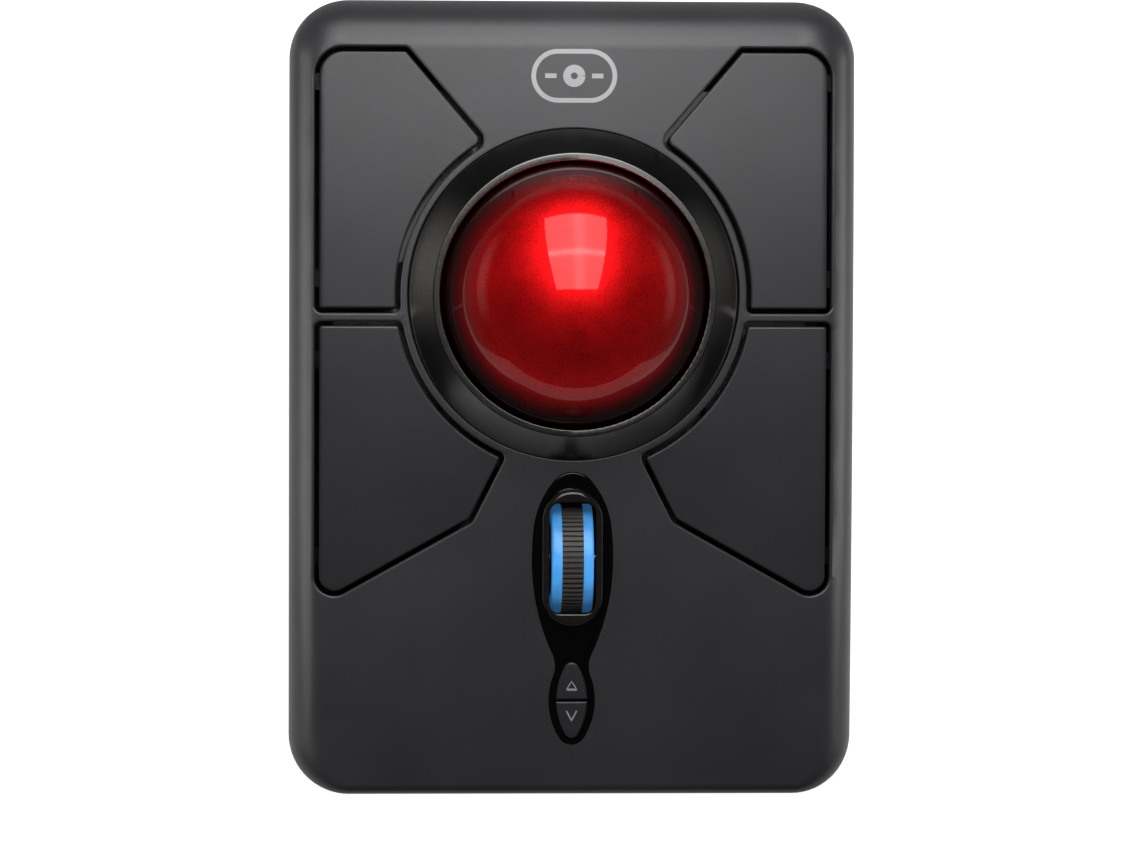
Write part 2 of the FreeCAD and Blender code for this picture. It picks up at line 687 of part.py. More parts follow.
def small_screw(x, y, seat, depth):
    """A screw that points down, head on seat, with a cross recess."""
    shaft, head, thick = SMALL_SCREW
    screw = rod(head, x, y, seat, seat + thick).fuse(rod(shaft, x, y, seat - depth, seat))
    for turn in (0, 90):
        recess = box(-head * 0.55, head * 0.55, -0.25, 0.25, seat + thick - 0.7, seat + thick + 1)
        recess.rotate(ORIGIN, UP, turn)
        recess.translate(Vector(x, y, 0))
        screw = screw.cut(recess)
    return screw


def make_fasteners_and_feet():
    save("case_screws", *[recessed_screw(x, y, CASE_SCREW_SEAT, CASE_SCREW) for x, y in CASE_SCREWS])
    save("rubber_feet", *[foot(x, y, 0) for x, y in FOOT_PLACES])
    seat = EAR_TOP - EAR_THICK
    size = (SMALL_SCREW[0], SMALL_SCREW[1], SMALL_SCREW[2], 6.0)
    save("cup_screws", *[on_collar(recessed_screw(x, y, seat, size)) for x, y in EAR_PLACES])


# ---- Ball, collar, cup and supports --------------------------------------------------------------
def make_ball_mount():
    save("trackball", ball(BALL_RADIUS, Vector(0, BALL_Y, BALL_Z)))
    collar = turned([
        (COLLAR_HOLE, COLLAR_BOTTOM),
        (COLLAR_OUTER, COLLAR_BOTTOM),
        (COLLAR_OUTER, -0.3),
        (COLLAR_LIP, COLLAR_RISE),
        (COLLAR_HOLE, COLLAR_RISE),
    ])
    lip_edges = [
        edge
        for edge in collar.Edges
        if edge.BoundBox.ZMin > COLLAR_RISE - 0.01 and edge.BoundBox.DiagonalLength > 10
    ]
    collar = collar.makeFillet(COLLAR_LIP_ROUND, lip_edges)
    save("ball_collar", on_collar(collar))
    make_cup()
    supports = []
    for azimuth in SUPPORT_AZIMUTHS:
        centre = toward(SUPPORT_POLAR, azimuth, BALL_RADIUS + SUPPORT_RADIUS + SUPPORT_CLEARANCE)
        supports.append(on_collar(ball(SUPPORT_RADIUS, centre)))
    save("support_balls", *supports)


def make_cup():
    """The bowl under the ball, with its flange, four screw ears and three support seats."""
    bowl = ball(CUP_OUTER).cut(box(-FAR, FAR, -FAR, FAR, COLLAR_BOTTOM, FAR))
    flange = rod(CUP_FLANGE, 0, 0, COLLAR_BOTTOM - CUP_FLANGE_THICK, COLLAR_BOTTOM)
    adds = [flange]
    cuts = [ball(CUP_INNER), rod(CUP_DRAIN, 0, 0, -40, -20)]
    for x, y in EAR_PLACES:
        reach = math.hypot(x, y)
        tab = box(CUP_INNER - 3, reach, -EAR_RADIUS, EAR_RADIUS, EAR_TOP - EAR_THICK, EAR_TOP)
        tab.rotate(ORIGIN, UP, math.degrees(math.atan2(y, x)))
        adds += [tab, rod(EAR_RADIUS, x, y, EAR_TOP - EAR_THICK, EAR_TOP)]
        cuts.append(rod(SMALL_SCREW[0], x, y, EAR_TOP - 5, EAR_TOP + 2))
    for azimuth in SUPPORT_AZIMUTHS:
        way = toward(SUPPORT_POLAR, azimuth)
        seat = BALL_RADIUS + SUPPORT_RADIUS + SUPPORT_CLEARANCE
        adds.append(Part.makeCylinder(2.6, 4, way * (CUP_INNER - 1), way))
        cuts.append(Part.makeCylinder(SUPPORT_RADIUS, 2, way * (seat - 2), way))
        cuts.append(ball(SUPPORT_RADIUS, way * seat))
    way = toward(SENSOR_POLAR, 90)
    cuts.append(Part.makeCylinder(3.2, 8, way * 24, way))
    cup = bowl.fuse(adds).cut(cuts)
    save("ball_cup", on_collar(cup))


def on_sensor_axis(shape):
    """Move a shape made with Z pointing away from the ball to the sensor's axis."""
    moved = shape.copy()
    moved.rotate(ORIGIN, EAST, -SENSOR_POLAR)
    return on_collar(moved)


def make_sensor():
    plate = box(-5.5, 5.5, -4.5, 4.5, 28.75, 29.35)
    lens = plate.fuse([box(-4.4, 4.4, -3.4, 3.4, 29.35, 31.1), rod(2.0, 0, 0, 27.2, 28.8)])
    save("sensor_lens", on_sensor_axis(lens))
    bracket = box(-12, 12, -5.0, 6.5, 29.35, 30.85)
    legs = [box(x - 2, x + 2, -3.0, 6.0, 25, 29.5) for x in (-9.5, 9.5)]
    posts = [box(x - 1.5, x + 1.5, -4, 4, 30.5, 33.7) for x in (-7.4, 7.4)]
    bracket = bracket.fuse(legs + posts).cut([ball(CUP_OUTER), box(-4.45, 4.45, -3.45, 3.45, 29, 32)])
    save("sensor_bracket", on_sensor_axis(bracket))
    save("optical_sensor", on_sensor_axis(box(-4.6, 4.6, -4.0, 4.0, 31.2, 33.7)))
    board = box(-9, 9, -6.5, 6.5, 33.7, 35.3)
    save("sensor_board", on_sensor_axis(board))
    ribbon = box(8, 16, 47.0, 52.0, BOARD_TOP, BOARD_TOP + 0.15)
    save("sensor_ribbon", ribbon.cut(on_sensor_axis(box(-9, 9, -6.5, 6.5, 30, 36))))


# ---- Console -------------------------------------------------------------------------------------
def make_console():
    body = layer(arc_outline(CONSOLE), 0, -CONSOLE_BOTTOM)
    body = round_rim(body, arc_outline(CONSOLE), 0, 0.3)
    flange = layer(arc_outline(CONSOLE, CONSOLE_FLANGE), -WALL - 0.05, -CONSOLE_BOTTOM)
    dish = layer(arc_outline(CONSOLE, -CONSOLE_RIM), 5, -CONSOLE_DISH)
    wheel_hole = prism(stadium(*BEZEL_OUTER, WHEEL_Y, -0.45), 0, FAR)
    speed_hole = prism(arc_outline(oval_circles(*SPEED_CAP, SPEED_Y), 0.2), 0, FAR)
    save("console_insert", body.fuse(flange).cut([dish, wheel_hole, speed_hole]))


def make_bezel():
    """The raised ring round the wheel, with a short neck that drops through the console's plate."""
    ring = layer(stadium(*BEZEL_OUTER, WHEEL_Y), BEZEL_RISE, -CONSOLE_DISH)
    neck = stadium(*BEZEL_OUTER, WHEEL_Y, -BEZEL_NECK)
    ring = ring.fuse(layer(neck, -CONSOLE_DISH + 0.1, -CONSOLE_DISH - 0.9))
    half_x, half_y, corner = BEZEL_INNER
    ring = ring.cut(rounded_block(half_x, half_y, corner, 0, FAR, 0, WHEEL_Y))
    for radius, outside in ((BEZEL_ROUND, True), (BEZEL_LIP_ROUND, False)):
        rim = []
        for edge in ring.Edges:
            middle = edge.CenterOfMass
            on_outside = abs(middle.x) > half_x + 0.1 or abs(middle.y - WHEEL_Y) > half_y + 0.1
            at_top = middle.z > top_z(middle.y) + BEZEL_RISE - 0.3
            if at_top and not upright(edge) and on_outside == outside:
                rim.append(edge)
        ring = ring.makeFillet(radius, rim)
    save("wheel_bezel", ring)


def make_speed_buttons():
    """Two half-oval caps in one hole, each on its own switch."""
    oval = oval_circles(*SPEED_CAP, SPEED_Y)
    cap = layer(arc_outline(oval), SPEED_TOP, SPEED_BOTTOM)
    cap = cap.fuse(layer(arc_outline(oval, SPEED_FLANGE[0]), SPEED_FLANGE[1], SPEED_BOTTOM))
    size, height, rise = SPEED_SWITCH
    stem_top = CONSOLE_BOARD_TOP + height + rise
    bodies = []
    for name, side in (("up", 1), ("down", -1)):
        edge = SPEED_Y + side * SPEED_SPLIT / 2
        y0, y1 = (edge, FAR) if side > 0 else (-FAR, edge)
        y = SPEED_Y + side * SPEED_SWITCH_OFFSET
        half = cap.common(box(-FAR, FAR, y0, y1, 0, FAR))
        rim = [
            e
            for e in half.Edges
            if not upright(e) and e.CenterOfMass.z > top_z(e.CenterOfMass.y) + SPEED_TOP - 0.1
        ]
        half = half.makeFillet(0.4, rim)
        post = rod(1.2, 0, y, stem_top + TIP_CLEARANCE, top_z(y) + SPEED_BOTTOM + 0.3)
        save(f"speed_{name}_button", half.fuse(post))
        half_size, body_top = size / 2, CONSOLE_BOARD_TOP + height
        body = box(-half_size, half_size, y - half_size, y + half_size, CONSOLE_BOARD_TOP, body_top)
        bodies.append(body.cut(rod(SPEED_STEM_RADIUS + 0.05, 0, y, stem_top - 2.4, stem_top)))
        save(f"speed_{name}_stem", rod(SPEED_STEM_RADIUS, 0, y, stem_top - 2.0, stem_top))
    save("speed_switches", *bodies)


# ---- Scroll wheel --------------------------------------------------------------------------------
def disc(radius, x0, x1):
    """A cylinder on the wheel's own axis."""
    return cross_rod(radius, x0, x1, WHEEL_Y, WHEEL_Z)


def ribbed_disc(x0, x1):
    """The tyre's outside: a cylinder with one groove between each pair of ribs."""
    points = []
    for rib in range(TYRE_RIBS):
        for part, radius in ((-0.21, 0), (0.21, 0), (0.3, RIB_DEPTH), (0.7, RIB_DEPTH)):
            angle = 2 * math.pi * (rib + part) / TYRE_RIBS
            reach = WHEEL_RADIUS - radius
            y = WHEEL_Y + reach * math.cos(angle)
            z = WHEEL_Z + reach * math.sin(angle)
            points.append(Vector(x0, y, z))
    return Part.Face(Part.makePolygon(points + points[:1])).extrude(Vector(x1 - x0, 0, 0))


def make_wheel():
    axle_end = 8.8
    save("wheel_axle", disc(AXLE_RADIUS, -PLATE_OUTER - 0.4, axle_end))
    hub = disc(TYRE_INNER, -TYRE_HALF, TYRE_HALF).fuse(disc(LIGHT_RING_INNER, -4.1, 4.1))
    save("wheel_hub", hub.cut(disc(AXLE_RADIUS, -9, 9)))
    save("wheel_tyre", ribbed_disc(-TYRE_HALF, TYRE_HALF).cut(disc(TYRE_INNER, -5, 5)))
    ring = disc(LIGHT_RING_OUTER, TYRE_HALF, LIGHT_RING_HALF)
    outer = [e for e in ring.Edges if abs(e.CenterOfMass.x - LIGHT_RING_HALF) < 0.01 and e.Length > 20]
    ring = ring.makeFillet(0.5, outer).cut(disc(LIGHT_RING_INNER, 0, 9))
    save("wheel_light_rings", *both_sides(ring))


def make_carrier():
    """The rocking frame of the wheel: two side plates, a pivot tube, and a pad over the click switch."""
    profile = [
        (-48.0, 14.9),
        (-48.0, 17.6),
        (-36.0, 19.6),
        (-33.6, 20.6),
        (-28.6, 20.6),
        (-26.0, 19.6),
        (-16.1, 19.0),
        (-16.1, CLICK_PAD_Z),
        (-18.3, CLICK_PAD_Z),
        (-20.5, 14.9),
    ]
    points = [Vector(PLATE_INNER, y, z) for y, z in profile]
    plate_face = Part.Face(Part.makePolygon(points + points[:1]))
    plate = plate_face.extrude(Vector(PLATE_OUTER - PLATE_INNER, 0, 0))
    tube = cross_rod(PIVOT_TUBE_RADIUS, -PLATE_OUTER, PLATE_OUTER, PIVOT_Y, PIVOT_Z)
    pad = box(-PLATE_OUTER, PLATE_OUTER, -18.3, -16.1, CLICK_PAD_Z, 18.6)
    frame = plate.fuse([mirrored(plate), tube, pad])
    bore = cross_rod(PIVOT_PIN_RADIUS + AXLE_CLEARANCE, -9, 9, PIVOT_Y, PIVOT_Z)
    save("wheel_carrier", frame.cut([bore, disc(AXLE_RADIUS + AXLE_CLEARANCE, -9, 9)]))
    encoder = box(PLATE_OUTER, PLATE_OUTER + 3.2, -36.0, -26.2, 13.7, 20.9)
    save("scroll_encoder", encoder.cut(disc(AXLE_RADIUS + AXLE_CLEARANCE, 0, 12)))
    base = box(-8.6, 8.6, -49.0, -43.2, CONSOLE_BOARD_TOP, CONSOLE_BOARD_TOP + 0.8)
    post = box(6.7, 8.4, -48.3, -43.7, CONSOLE_BOARD_TOP, 18.2)
    bracket = base.fuse(both_sides(post))
    save("wheel_bracket", bracket.cut(cross_rod(PIVOT_PIN_RADIUS, -9, 9, PIVOT_Y, PIVOT_Z)))
    save("wheel_pivot_pin", cross_rod(PIVOT_PIN_RADIUS, -8.4, 8.4, PIVOT_Y, PIVOT_Z))
    switch = box(-2.5, 2.5, CLICK_Y - 2.5, CLICK_Y + 2.5, CONSOLE_BOARD_TOP, CONSOLE_BOARD_TOP + 2.6)
    plunger_top = CLICK_PAD_Z - TIP_CLEARANCE
    save("wheel_click_switch", switch.cut(rod(1.25, 0, CLICK_Y, plunger_top - 2.6, plunger_top)))
    save("wheel_click_plunger", rod(1.2, 0, CLICK_Y, plunger_top - 2.0, plunger_top))
    lamp_top = CONSOLE_BOARD_TOP + 1.4
    save("wheel_lamp", box(-9.2, -7.2, WHEEL_Y - 1.6, WHEEL_Y + 1.6, CONSOLE_BOARD_TOP, lamp_top))


# ---- Circuit boards ------------------------------------------------------------------------------
def make_boards():
    board = box(-BOARD_HALF_X, BOARD_HALF_X, BOARD_FRONT, BOARD_BACK, BOARD_Z, BOARD_TOP)
    half_notch, notch_front = BOARD_NOTCH
    cuts = [rod(BOARD_HOLE, 0, BALL_Y, 0, FAR), box(-half_notch, half_notch, notch_front, FAR, 0, FAR)]
    cuts += [rod(SMALL_SCREW[0], x, y, 0, FAR) for x, y in BOARD_SCREWS]
    save("main_board", board.cut(cuts))
    save("board_screws", *[small_screw(x, y, BOARD_TOP, 6.0) for x, y in BOARD_SCREWS])
    half_x, front, back = CONSOLE_BOARD
    slot_x, slot_front, slot_back = CONSOLE_BOARD_SLOT
    board = box(-half_x, half_x, front, back, CONSOLE_BOARD_Z, CONSOLE_BOARD_TOP)
    cuts = [box(-slot_x, slot_x, slot_front, slot_back, 0, FAR)]
    cuts += [rod(SMALL_SCREW[0], x, y, 0, FAR) for x, y in CONSOLE_BOARD_SCREWS]
    save("console_board", board.cut(cuts))
    screws = [small_screw(x, y, CONSOLE_BOARD_TOP, 4.5) for x, y in CONSOLE_BOARD_SCREWS]
    save("console_board_screws", *screws)
    chips = (
        (-36.5, 22.0, 9.0, 9.0, 1.1),
        (-36.5, 8.0, 5.0, 3.2, 1.2),
        (-41.5, 34.0, 3.0, 6.0, 1.8),
        (36.5, 20.0, 6.0, 5.0, 1.5),
        (38.0, 31.0, 4.2, 4.2, 2.6),
        (18.0, 57.0, 7.0, 3.5, 2.0),
        (-18.0, -9.8, 6.0, 4.0, 1.6),
        (6.0, -10.0, 3.2, 1.6, 1.0),
        (-4.0, -10.0, 3.2, 1.6, 1.0),
    )
    parts = [
        box(x - w / 2, x + w / 2, y - d / 2, y + d / 2, BOARD_TOP, BOARD_TOP + h)
        for x, y, w, d, h in chips
    ]
    save("board_components", *parts)


# ---- Power ---------------------------------------------------------------------------------------
def cell(x, nub_at_front):
    """A battery cell from its flat end to its nub, between the contacts of its trough."""
    nub_radius, nub = CELL_NUB
    if nub_at_front:
        nub_y = BAY_FRONT + 0.4
        can = along_y(CELL_RADIUS, x, nub_y + nub, nub_y + nub + CELL_LENGTH)
        return can.fuse(along_y(nub_radius, x, nub_y, nub_y + nub + 0.2))
    nub_y = BAY_BACK - 0.4
    can = along_y(CELL_RADIUS, x, nub_y - nub - CELL_LENGTH, nub_y - nub)
    return can.fuse(along_y(nub_radius, x, nub_y - nub - 0.2, nub_y))


def coil(x, y0, y1):
    """A tight contact spring, its turns closed up under the cell's load."""
    turns = 4
    pitch = (y1 - y0 - 0.7) / (turns - 1)
    rings = [
        Part.makeTorus(3.2, 0.35, Vector(x, y0 + 0.35 + turn * pitch, CELL_Z), NORTH)
        for turn in range(turns)
    ]
    return rings[0].fuse(rings[1:])


def make_power():
    save("right_battery", cell(CELL_X, True))
    save("left_battery", cell(-CELL_X, False))
    flat_right = BAY_FRONT + 0.4 + CELL_NUB[1] + CELL_LENGTH
    flat_left = BAY_BACK - 0.4 - CELL_NUB[1] - CELL_LENGTH
    right_coil = coil(CELL_X, flat_right, BAY_BACK - 0.4)
    save("battery_springs", right_coil, coil(-CELL_X, BAY_FRONT + 0.4, flat_left))
    plates = [box(x - 5, x + 5, BAY_BACK - 0.4, BAY_BACK, 5.5, 14.5) for x in (CELL_X, -CELL_X)]
    save("battery_contacts", *plates)
    link = box(-15.9, 15.9, BAY_FRONT, BAY_FRONT + 0.4, 8.0, 12.0)
    ends = [box(x - 6.2, x + 6.2, BAY_FRONT, BAY_FRONT + 0.4, 6.5, 13.4) for x in (CELL_X, -CELL_X)]
    save("battery_link", link.fuse(ends))
    leads = [
        Part.makeCylinder(0.5, BOARD_FRONT - BAY_BACK, Vector(x, BAY_BACK, 12.8), NORTH)
        for x in (CELL_X, -CELL_X)
    ]
    save("battery_leads", *leads)
    door_area = box(-DOOR_HALF, DOOR_HALF, -FAR, DOOR_BACK, 0, 9)
    door = base_block(0, FOOT_HEIGHT, DOOR_TOP).common(door_area)
    tongues = box(-DOOR_HALF - DOOR_TONGUE, DOOR_HALF + DOOR_TONGUE, -68, -17, 1.75, DOOR_TOP)
    grooves = [box(-7, 7, y, y + 0.7, 0, FOOT_HEIGHT + 0.4) for y in (-30, -28.4, -26.8, -25.2, -23.6)]
    save("battery_door", door.fuse(tongues).cut(grooves))
    front, joint, back = RECEIVER_Y
    save("receiver_cap", box(-7.25, 7.25, front, joint, 2.95, 8.4))
    plug = box(-6, 6, joint, back, 3.5, 8.0).cut(box(-5.6, 5.6, back - 8, back + 1, 5.4, 7.6))
    save("receiver_plug", plug)
    slot = box(POWER_X - 3.2, POWER_X + 3.2, POWER_Y - 1.0, POWER_Y + 1.0, 2, 4.4)
    body = box(POWER_X - 6, POWER_X + 6, POWER_Y - 3.2, POWER_Y + 3.2, FLOOR_TOP, 6.5)
    save("power_switch_body", body.cut(slot))
    x = POWER_X - POWER_TRAVEL / 2
    knob = box(x - 2.3, x + 2.3, POWER_Y - 1.6, POWER_Y + 1.6, 1.15, FLOOR_TOP - 0.1)
    stem = box(x - 0.9, x + 0.9, POWER_Y - 0.8, POWER_Y + 0.8, 2.5, 4.1)
    grooves = [
        box(g - 0.25, g + 0.25, POWER_Y - 2, POWER_Y + 2, 1, 1.45)
        for g in (x - 1.2, x, x + 1.2)
    ]
    save("power_switch_knob", knob.fuse(stem).cut(grooves))


doc = FreeCAD.newDocument("mouse")
os.makedirs("parts", exist_ok=True)
PLANS = {
    "upper": button_plan(UPPER_CORNERS, UPPER_TIP_RADIUS),
    "lower": button_plan(LOWER_CORNERS, LOWER_TIP_RADIUS),
}
CONSOLE = console_circles()
CASING = casing_block(0)
CASING_INSIDE = casing_block(WALL)
CASING_UNDER_CAP = casing_block(CAP_PLATE)
make_cover()
make_base()
make_ball_mount()
make_sensor()
make_buttons()
make_button_switches()
make_console()
make_bezel()
make_speed_buttons()
make_wheel()
make_carrier()
make_boards()
make_power()
make_fasteners_and_feet()
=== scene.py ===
"""Looks of the desktop trackball mouse: camera, lights, materials and the finely made pieces."""
import json
import math

import bmesh
import bpy
from mathutils import Matrix, Vector


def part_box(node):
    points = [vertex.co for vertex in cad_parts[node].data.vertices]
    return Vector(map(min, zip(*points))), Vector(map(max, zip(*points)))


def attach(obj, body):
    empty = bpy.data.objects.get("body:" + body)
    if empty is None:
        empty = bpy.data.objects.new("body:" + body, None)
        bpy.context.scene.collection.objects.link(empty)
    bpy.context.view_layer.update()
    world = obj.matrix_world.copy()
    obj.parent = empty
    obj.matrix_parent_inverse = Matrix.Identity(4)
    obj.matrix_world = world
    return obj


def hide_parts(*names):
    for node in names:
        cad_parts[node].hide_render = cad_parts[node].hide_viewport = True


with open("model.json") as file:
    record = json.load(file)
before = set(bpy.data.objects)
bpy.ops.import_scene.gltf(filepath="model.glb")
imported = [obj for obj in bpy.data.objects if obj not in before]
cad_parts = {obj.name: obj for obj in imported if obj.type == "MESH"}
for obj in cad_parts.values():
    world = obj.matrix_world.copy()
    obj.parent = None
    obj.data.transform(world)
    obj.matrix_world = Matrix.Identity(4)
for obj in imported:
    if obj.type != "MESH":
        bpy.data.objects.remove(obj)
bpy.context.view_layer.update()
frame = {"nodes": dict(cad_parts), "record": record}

NODES = frame["nodes"]
BALL_LOW, BALL_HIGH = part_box("trackball")
BALL_CENTRE = (BALL_LOW + BALL_HIGH) / 2
BALL_RADIUS = (BALL_HIGH.x - BALL_LOW.x) / 2
BALL_STEPS = 72
MARK_Y = 0.0614
PRINT_THICKNESS = 0.00003
WELD_REACH = 0.000002
CREASE_DEGREES = 28
CARD_X = 0.064
RING_GLOW_DEPTH = 0.005
UNDERSIDE = (
    "base_shell", "battery_door", "rubber_feet", "case_screws", "power_switch_knob",
    "power_switch_body", "left_battery", "right_battery", "battery_springs", "battery_contacts",
    "battery_link", "receiver_cap", "receiver_plug", "sensor_lens", "optical_sensor",
)


# ---- Camera ---------------------------------------------------------------------------------------
def add_camera():
    """Looks almost straight down, a little from the left and from the front."""
    width_seen = 0.2221
    distance = 1.1
    target = Vector((0.0001, -0.00565, 0.014))
    lean_x, lean_y = math.radians(-2.9), math.radians(-1.4)
    way = Vector((math.sin(lean_x), math.sin(lean_y), 1)).normalized()
    data = bpy.data.cameras.new("camera")
    data.sensor_width = 36
    data.lens = data.sensor_width * distance / width_seen
    data.clip_start, data.clip_end = 0.05, 50
    camera = bpy.data.objects.new("camera", data)
    camera.location = target + way * distance
    z = way
    x = Vector((0, 1, 0)).cross(z).normalized()
    y = z.cross(x)
    camera.rotation_mode = "QUATERNION"
    camera.rotation_quaternion = Matrix((x, y, z)).transposed().to_quaternion()
    bpy.context.scene.collection.objects.link(camera)
    bpy.context.scene.camera = camera


# ---- Lights and floor -------------------------------------------------------------------------------
def math_node(tree, operation, first, second=None):
    node = tree.nodes.new("ShaderNodeMath")
    node.operation = operation
    for socket, value in zip(node.inputs, (first, second)):
        if isinstance(value, (int, float)):
            socket.default_value = value
        elif value is not None:
            tree.links.new(value, socket)
    return node.outputs["Value"]


def soft_edge(tree, value, margin):
    """1 in the middle of a 0 to 1 range, falling to 0 within margin of both its ends."""
    off_middle = math_node(tree, "ABSOLUTE", math_node(tree, "SUBTRACT", value, 0.5))
    inward = math_node(tree, "SUBTRACT", 0.5, off_middle)
    ramp = tree.nodes.new("ShaderNodeMapRange")
    ramp.interpolation_type = "SMOOTHSTEP"
    ramp.inputs["From Max"].default_value = margin
    tree.links.new(inward, ramp.inputs["Value"])
    return ramp.outputs["Result"]


def ridge(tree, value, place, width, height):
    """A soft raised line at place on a 0 to 1 range."""
    away = math_node(tree, "DIVIDE", math_node(tree, "SUBTRACT", value, place), width)
    fall = math_node(tree, "MULTIPLY", math_node(tree, "MULTIPLY", away, away), -1)
    return math_node(tree, "MULTIPLY", math_node(tree, "EXPONENT", fall), height)


def panel_light(name, low_edge, high_edge, width, radiance, margins, colour=(1, 1, 1), tubes=()):
    """A light panel between the middles of its two edges. The tubes are brighter lines across it."""
    low_edge, high_edge = Vector(low_edge), Vector(high_edge)
    middle, run = (low_edge + high_edge) / 2, high_edge - low_edge
    y = run.normalized()
    x = y.cross(BALL_CENTRE - middle).normalized()
    z = x.cross(y)
    if z.dot(middle - BALL_CENTRE) < 0:
        x, z = -x, -z
    data = bpy.data.lights.new(name, "AREA")
    data.shape = "RECTANGLE"
    data.size, data.size_y = width, run.length
    data.energy = radiance * math.pi * width * run.length
    data.color = colour
    data.use_nodes = True
    tree = data.node_tree
    emission = tree.nodes["Emission"]
    place = tree.nodes.new("ShaderNodeNewGeometry").outputs["Parametric"]
    split = tree.nodes.new("ShaderNodeSeparateXYZ")
    tree.links.new(place, split.inputs["Vector"])
    across, along = split.outputs["X"], split.outputs["Y"]
    side_fade = soft_edge(tree, across, margins[0])
    end_fade = soft_edge(tree, along, margins[1])
    strength = math_node(tree, "MULTIPLY", side_fade, end_fade)
    extra = 1.0
    for way, spot, thickness, height in tubes:
        line = ridge(tree, across if way == "x" else along, spot, thickness, height)
        extra = math_node(tree, "ADD", extra, line)
    tree.links.new(math_node(tree, "MULTIPLY", strength, extra), emission.inputs["Strength"])
    light = bpy.data.objects.new(name, data)
    light.matrix_world = Matrix.Translation(middle) @ Matrix((x, y, z)).transposed().to_4x4()
    light.visible_camera = False
    bpy.context.scene.collection.objects.link(light)
    return light


def light_only(light, *nodes):
    """Let the light reach these nodes and nothing else."""
    receivers = bpy.data.collections.new(light.name + "_receivers")
    for name in nodes:
        receivers.objects.link(NODES[name])
    light.light_linking.receiver_collection = receivers


def add_lights():
    near_edge, far_edge = (0.0, 0.024, 0.333), (0.0, 0.243, 0.113)
    tubes = (("y", 0.47, 0.035, 1.3), ("x", 0.45, 0.10, 0.55))
    panel_light("rear_softbox", far_edge, near_edge, 0.184, 3.45, (0.015, 0.04), tubes=tubes)
    fade, width, radiance = (0.5, 0.5), 0.56, 0.75
    left = (-0.42, 0.10, -0.04), (-0.40, 0.10, 0.11)
    right = (0.42, 0.08, -0.04), (0.40, 0.08, 0.11)
    panel_light("left_panel", *left, width, radiance, fade, (1.0, 0.97, 0.92))
    panel_light("right_panel", *right, width, radiance, fade, (1.0, 0.98, 0.94))
    for side, low, high, radiance in ((-1, 0.02, 0.15, 3.2), (1, 0.0, 0.10, 3.2)):
        edges = (side * 0.20, 0, low), (side * 0.16, 0, high)
        streak = panel_light("side_streak", *edges, 0.26, radiance, (0.35, 0.3), (1.0, 0.97, 0.93))
        light_only(streak, "top_cover")
    under = panel_light("under_panel", (0, -0.3, -0.5), (0, 0.3, -0.5), 0.6, 6.0, (0.3, 0.3))
    light_only(under, *UNDERSIDE)
    world = bpy.data.worlds.new("studio")
    bpy.context.scene.world = world
    world.use_nodes = True
    tree = world.node_tree
    tree.nodes.clear()
    out = tree.nodes.new("ShaderNodeOutputWorld")
    backdrop = tree.nodes.new("ShaderNodeBackground")
    backdrop.inputs["Color"].default_value = (0.88, 0.88, 0.88, 1)
    fill = tree.nodes.new("ShaderNodeBackground")
    fill.inputs["Color"].default_value = (0.05, 0.05, 0.055, 1)
    mix = tree.nodes.new("ShaderNodeMixShader")
    path = tree.nodes.new("ShaderNodeLightPath")
    tree.links.new(path.outputs["Is Camera Ray"], mix.inputs["Fac"])
    tree.links.new(fill.outputs["Background"], mix.inputs[1])
    tree.links.new(backdrop.outputs["Background"], mix.inputs[2])
    tree.links.new(mix.outputs["Shader"], out.inputs["Surface"])


def stage_sheet(name, outline, height):
    mesh = bpy.data.meshes.new(name)
    mesh.from_pydata([(x, y, height) for x, y in outline], [], [tuple(range(len(outline)))])
    sheet = bpy.data.objects.new(name, mesh)
    bpy.context.scene.collection.objects.link(sheet)
    return sheet


